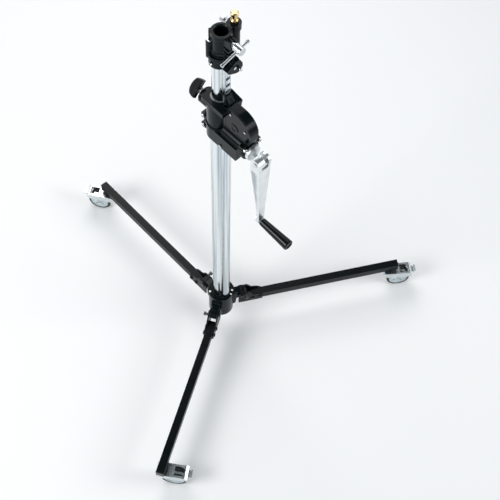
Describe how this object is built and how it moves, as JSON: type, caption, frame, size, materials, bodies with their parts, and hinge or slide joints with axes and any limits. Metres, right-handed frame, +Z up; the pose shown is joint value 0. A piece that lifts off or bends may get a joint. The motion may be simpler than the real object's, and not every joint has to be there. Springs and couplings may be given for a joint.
{
  "type": "crank lighting stand",
  "caption": "Wheeled folding tripod stand with a crank-driven telescopic rack column, folding crank handle, lighting socket and spigot.",
  "frame": {"origin": "on the floor, on the column's axis, midway between the three casters' legs", "axes": "+Z up along the column; -Y towards the crank; one leg along +Y, the others at -30 and -150 degrees"},
  "size_m": [1.0154, 0.9412, 1.277],
  "materials": {
    "black_casting": "semi-gloss black enamel",
    "black_tube": "matt black powder coat",
    "black_plate": "matt black powder coat",
    "chromed_tube": "satin chrome",
    "bright_steel": "bright zinc plate",
    "dark_steel": "black oxide",
    "cast_aluminium": "light grey cast aluminium",
    "zinc": "bright zinc plate",
    "caster_disc": "pale grey pressed disc",
    "caster_tyre": "dark grey rubber",
    "brass_spigot": "turned brass",
    "bronze": "sintered bronze",
    "bush_plastic": "natural acetal",
    "black_plastic": "gloss black moulded"
  },
  "bodies": {
    "base": {"base_hub": "black_casting", "hub_screws": "bright_steel", "outer_column": "chromed_tube", "gearbox_body": "black_casting", "gear_cover": "black_casting", "gearbox_screws": "bright_steel", "column_bush": "bush_plastic", "shaft_bushes": "bronze"},
    "riser": {"inner_column": "chromed_tube", "rack": "chromed_tube", "column_glide": "bush_plastic", "rack_stop": "black_casting", "stop_screw": "bright_steel", "head_casting": "black_casting", "head_bolts": "bright_steel", "spigot": "brass_spigot"},
    "gear": {"worm_wheel": "bronze", "drive_gear": "bright_steel", "wheel_axle": "bright_steel"},
    "crank": {"crank_shaft": "bright_steel", "crank_hub": "cast_aluminium"},
    "arm": {"crank_arm": "cast_aluminium", "crank_pin": "bright_steel", "grip_spindle": "bright_steel"},
    "grip": {"crank_grip": "black_plastic"},
    "knob": {"friction_knob": "black_plastic", "friction_stud": "bright_steel"},
    "t_screw": {"t_screw": "bright_steel"},
    "t_bar": {"t_bar": "bright_steel"},
    "spigot_screw": {"spigot_screw": "bright_steel"},
    "leg_a": {"leg_tube_a": "black_tube", "leg_bracket_a": "black_plate", "leg_bolts_a": "dark_steel", "caster_stem_a": "black_casting"},
    "lock_a": {"leg_lock_a": "dark_steel"},
    "caster_a": {"caster_housing_a": "zinc", "caster_axle_a": "bright_steel"},
    "wheel_a": {"caster_disc_a": "caster_disc", "caster_tyre_a": "caster_tyre"},
    "pedal_a": {"caster_pedal_a": "zinc"},
    "leg_b": {"leg_tube_b": "black_tube", "leg_bracket_b": "black_plate", "leg_bolts_b": "dark_steel", "caster_stem_b": "black_casting"},
    "lock_b": {"leg_lock_b": "dark_steel"},
    "caster_b": {"caster_housing_b": "zinc", "caster_axle_b": "bright_steel"},
    "wheel_b": {"caster_disc_b": "caster_disc", "caster_tyre_b": "caster_tyre"},
    "pedal_b": {"caster_pedal_b": "zinc"},
    "leg_c": {"leg_tube_c": "black_tube", "leg_bracket_c": "black_plate", "leg_bolts_c": "dark_steel", "caster_stem_c": "black_casting"},
    "lock_c": {"leg_lock_c": "dark_steel"},
    "caster_c": {"caster_housing_c": "zinc", "caster_axle_c": "bright_steel"},
    "wheel_c": {"caster_disc_c": "caster_disc", "caster_tyre_c": "caster_tyre"},
    "pedal_c": {"caster_pedal_c": "zinc"}
  },
  "joints": [
    {"name": "crank_spin", "type": "hinge", "parent": "base", "child": "crank", "pos_m": [-0.008, -0.1, 0.9769], "axis": [0, 1, 0], "range_deg": [-2790, 23400]},
    {"name": "riser_lift", "type": "slide", "parent": "base", "child": "riser", "axis": [0, 0, 1], "range_m": [-0.0652, 0.5461]},
    {"name": "gear_spin", "type": "hinge", "parent": "base", "child": "gear", "pos_m": [0, -0.0621, 1.018], "axis": [1, 0, 0], "range_deg": [-93.5, 780.5]},
    {"name": "crank_fold", "type": "hinge", "parent": "crank", "child": "arm", "pos_m": [-0.008, -0.137, 0.97], "axis": [-1, 0, 0], "range_deg": [0, 90]},
    {"name": "grip_spin", "type": "hinge", "parent": "arm", "child": "grip", "pos_m": [-0.008, -0.2, 0.742], "axis": [0, 1, 0], "continuous": true},
    {"name": "knob_turn", "type": "hinge", "parent": "base", "child": "knob", "pos_m": [0, 0.07, 1.018], "axis": [0, 1, 0], "range_deg": [-360, 360]},
    {"name": "t_screw_turn", "type": "hinge", "parent": "riser", "child": "t_screw", "pos_m": [0.0045, -0.05, 1.238], "axis": [0, -1, 0], "continuous": true},
    {"name": "t_bar_slide", "type": "slide", "parent": "t_screw", "child": "t_bar", "axis": [0.9632, 0, 0.2689], "range_m": [-0.012, 0.034]},
    {"name": "spigot_screw_turn", "type": "hinge", "parent": "riser", "child": "spigot_screw", "pos_m": [0.039, 0.03, 1.233], "axis": [0, 1, 0], "continuous": true},
    {"name": "leg_fold_a", "type": "hinge", "parent": "base", "child": "leg_a", "pos_m": [0, 0.062, 0.125], "axis": [1, 0, 0], "range_deg": [0, 90]},
    {"name": "leg_lock_pull_a", "type": "slide", "parent": "leg_a", "child": "lock_a", "axis": [1, 0, 0], "range_m": [0, 0.008], "stiffness_N_per_m": 400, "springref_m": -0.003},
    {"name": "caster_swivel_a", "type": "hinge", "parent": "leg_a", "child": "caster_a", "pos_m": [0, 0.53, 0.07], "axis": [0, 0, 1], "continuous": true},
    {"name": "wheel_spin_a", "type": "hinge", "parent": "caster_a", "child": "wheel_a", "pos_m": [-0.01743, 0.55684, 0.035], "axis": [-0.8387, -0.5446, 0], "continuous": true},
    {"name": "brake_press_a", "type": "hinge", "parent": "caster_a", "child": "pedal_a", "pos_m": [-0.03377, 0.582, 0.066], "axis": [-0.8387, -0.5446, 0], "range_deg": [0, 10]},
    {"name": "leg_fold_b", "type": "hinge", "parent": "base", "child": "leg_b", "pos_m": [0.05369, -0.031, 0.125], "axis": [-0.5, -0.866, 0], "range_deg": [0, 90]},
    {"name": "leg_lock_pull_b", "type": "slide", "parent": "leg_b", "child": "lock_b", "axis": [-0.5, -0.866, 0], "range_m": [0, 0.008], "stiffness_N_per_m": 400, "springref_m": -0.003},
    {"name": "caster_swivel_b", "type": "hinge", "parent": "leg_b", "child": "caster_b", "pos_m": [0.45899, -0.265, 0.07], "axis": [0, 0, 1], "continuous": true},
    {"name": "wheel_spin_b", "type": "hinge", "parent": "caster_b", "child": "wheel_b", "pos_m": [0.48421, -0.2847, 0.035], "axis": [0.6157, 0.788, 0], "continuous": true},
    {"name": "brake_press_b", "type": "hinge", "parent": "caster_b", "child": "pedal_b", "pos_m": [0.50785, -0.30317, 0.066], "axis": [0.6157, 0.788, 0], "range_deg": [0, 10]},
    {"name": "leg_fold_c", "type": "hinge", "parent": "base", "child": "leg_c", "pos_m": [-0.05369, -0.031, 0.125], "axis": [-0.5, 0.866, 0], "range_deg": [0, 90]},
    {"name": "leg_lock_pull_c", "type": "slide", "parent": "leg_c", "child": "lock_c", "axis": [-0.5, 0.866, 0], "range_m": [0, 0.008], "stiffness_N_per_m": 400, "springref_m": -0.003},
    {"name": "caster_swivel_c", "type": "hinge", "parent": "leg_c", "child": "caster_c", "pos_m": [-0.45899, -0.265, 0.07], "axis": [0, 0, 1], "continuous": true},
    {"name": "wheel_spin_c", "type": "hinge", "parent": "caster_c", "child": "wheel_c", "pos_m": [-0.43929, -0.29022, 0.035], "axis": [0.788, 0.6157, 0], "continuous": true},
    {"name": "brake_press_c", "type": "hinge", "parent": "caster_c", "child": "pedal_c", "pos_m": [-0.42082, -0.31386, 0.066], "axis": [0.788, 0.6157, 0], "range_deg": [0, 10]}
  ],
  "couplings": [
    {"joint": "riser_lift", "follows": "crank_spin", "m_per_rad": 0.0013369},
    {"joint": "gear_spin", "follows": "crank_spin", "ratio": 0.033333}
  ]
}
